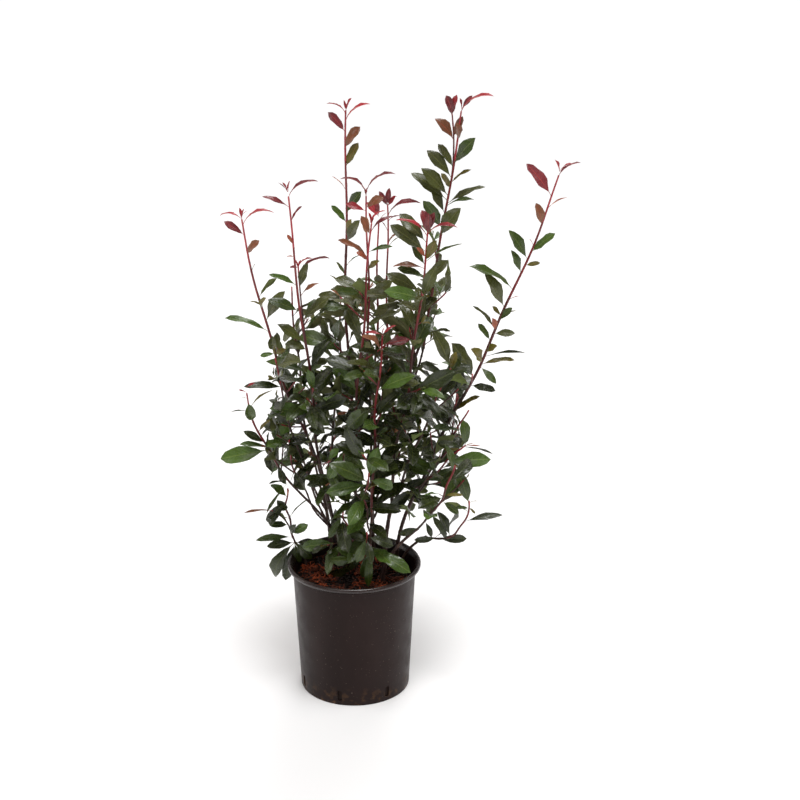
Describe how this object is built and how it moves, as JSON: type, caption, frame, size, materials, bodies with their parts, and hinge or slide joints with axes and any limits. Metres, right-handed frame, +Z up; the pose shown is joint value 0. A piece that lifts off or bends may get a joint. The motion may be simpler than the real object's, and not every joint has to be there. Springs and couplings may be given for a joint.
{
  "type": "potted photinia shrub",
  "caption": "Young upright photinia shrub with thin leaning stems, glossy green leaves and red young tips, growing in a round tapered nursery pot filled with bark mulch.",
  "frame": {"origin": "centre of the pot's flat underside", "axes": "+Z up along the plant, +X to the right of the shrub's front, +Y towards its back"},
  "size_m": [0.7039, 0.5116, 1.2493],
  "materials": {
    "pot": "dark brown moulded plastic with a satin sheen and dusty scuffs",
    "soil": "reddish-brown bark mulch over dark substrate",
    "bark": "smooth dark purple-brown young bark",
    "foliage": "glossy deep green leaves, bronze to crimson at the shoot tips, on thin red-brown twigs"
  },
  "bodies": {
    "root": {"bough_back_left_high": "bark", "bough_back_middle": "bark", "bough_back_right_high": "bark", "bough_far_right": "bark", "bough_front_middle": "bark", "bough_low_left_bow": "bark", "bough_middle_back": "bark", "bough_outer_left": "bark", "bough_pale_back": "bark", "bough_right_back": "bark", "bough_right_front": "bark", "bough_right_side": "bark", "bough_tall_left": "bark", "bough_tall_middle": "bark", "bough_tall_right": "bark", "foliage_back_left_high": "foliage", "foliage_back_left_low": "foliage", "foliage_back_middle": "foliage", "foliage_back_right_high": "foliage", "foliage_back_right_low": "foliage", "foliage_far_right": "foliage", "foliage_far_right_back": "foliage", "foliage_far_right_low": "foliage", "foliage_foot_left": "foliage", "foliage_front_foot": "foliage", "foliage_front_left": "foliage", "foliage_front_low": "foliage", "foliage_front_middle": "foliage", "foliage_front_red": "foliage", "foliage_left_middle": "foliage", "foliage_low_back": "foliage", "foliage_low_front": "foliage", "foliage_low_front_right": "foliage", "foliage_low_left": "foliage", "foliage_low_left_bow": "foliage", "foliage_low_right": "foliage", "foliage_middle_back": "foliage", "foliage_outer_left": "foliage", "foliage_pale_back": "foliage", "foliage_right_back": "foliage", "foliage_right_front": "foliage", "foliage_right_middle": "foliage", "foliage_right_side": "foliage", "foliage_tall_left": "foliage", "foliage_tall_middle": "foliage", "foliage_tall_right": "foliage", "pot": "pot", "soil": "soil", "trunk_back": "bark", "trunk_back_left": "bark", "trunk_far_right": "bark", "trunk_front": "bark", "trunk_front_right": "bark", "trunk_left": "bark", "trunk_low_left": "bark", "trunk_low_right": "bark", "trunk_middle": "bark", "trunk_right": "bark"}
  },
  "joints": []
}
